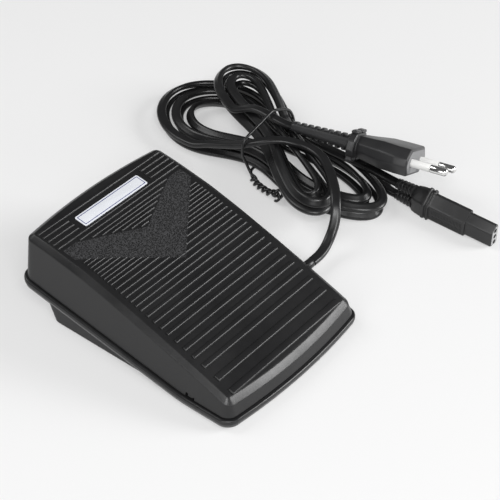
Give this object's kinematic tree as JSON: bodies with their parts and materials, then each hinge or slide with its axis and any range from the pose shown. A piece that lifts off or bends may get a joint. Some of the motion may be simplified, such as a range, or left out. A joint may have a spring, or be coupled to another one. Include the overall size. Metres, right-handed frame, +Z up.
{
  "type": "sewing machine foot pedal",
  "caption": "Sprung foot speed control with a ribbed wedge-shaped treadle, a tied lead, a flat mains plug and a machine connector.",
  "frame": {"origin": "on the floor, under the middle of the pedal without its cords", "axes": "+X to the side where the lead leaves, +Y from the low heel end to the high toe end, +Z up"},
  "size_m": [0.205, 0.2005, 0.0453],
  "materials": {
    "shell": "fine grain, satin",
    "tub": "matt",
    "label": "satin",
    "rubber": "matt",
    "cord": "satin vinyl",
    "plug": "satin",
    "wire": "satin",
    "white": "satin",
    "resin": "satin",
    "pot": "satin",
    "capacitor": "gloss",
    "copper": "varnished wire",
    "ceramic": "matt",
    "terminal": "satin",
    "board": "matt",
    "steel": "zinc plated",
    "nickel": "bright",
    "brass": "bright",
    "aluminium": "satin"
  },
  "bodies": {
    "base": {"base_tub": "tub", "rubber_foot_1": "rubber", "rubber_foot_2": "rubber", "rubber_foot_3": "rubber", "rubber_foot_4": "rubber", "travel_stop_pad": "rubber", "lead_sleeve": "cord", "lead_inner": "cord", "pedal_cord_free": "cord", "pedal_cord_hank": "cord", "pedal_cord_tail": "cord", "mains_cord_hank": "cord", "mains_cord_tail": "cord", "mains_cord_plug_end": "cord", "connector_body": "cord", "connector_boot_a": "cord", "connector_boot_b": "cord", "twist_tie": "cord", "plug_body": "plug", "plug_boot": "plug", "lead_wire_1": "wire", "lead_wire_2": "wire", "cord_clamp": "white", "pin_sleeve_1": "white", "pin_sleeve_2": "white", "triac": "resin", "speed_potentiometer": "pot", "trimmer": "pot", "film_capacitor": "capacitor", "choke_coil": "copper", "power_resistor": "ceramic", "terminal_block": "terminal", "circuit_board": "board", "pivot_rod": "steel", "return_spring_left": "steel", "return_spring_right": "steel", "board_screw_1": "steel", "board_screw_2": "steel", "clamp_screw_1": "steel", "clamp_screw_2": "steel", "plug_pin_1": "nickel", "plug_pin_2": "nickel", "connector_contact_1": "brass", "connector_contact_2": "brass", "connector_contact_3": "brass", "heat_sink": "aluminium"},
    "treadle": {"treadle_cover": "shell", "rim_frame": "shell", "label_plate": "label", "rim_screw_1": "steel", "rim_screw_2": "steel", "rim_screw_3": "steel", "rim_screw_4": "steel"},
    "plunger": {"speed_plunger": "white"}
  },
  "joints": [
    {"name": "treadle_hinge", "type": "hinge", "parent": "base", "child": "treadle", "pos_m": [0, -0.034, 0.0076], "axis": [-1, 0, 0], "range_deg": [0, 7], "stiffness_Nm_per_rad": 2, "springref_deg": -8.59, "deforming": ["return_spring_left", "return_spring_right"]},
    {"name": "plunger_slide", "type": "slide", "parent": "base", "child": "plunger", "axis": [0, 0, -1], "range_m": [0, 0.0052]}
  ],
  "couplings": [
    {"joint": "plunger_slide", "follows": "treadle_hinge", "m_per_rad": 0.041}
  ]
}
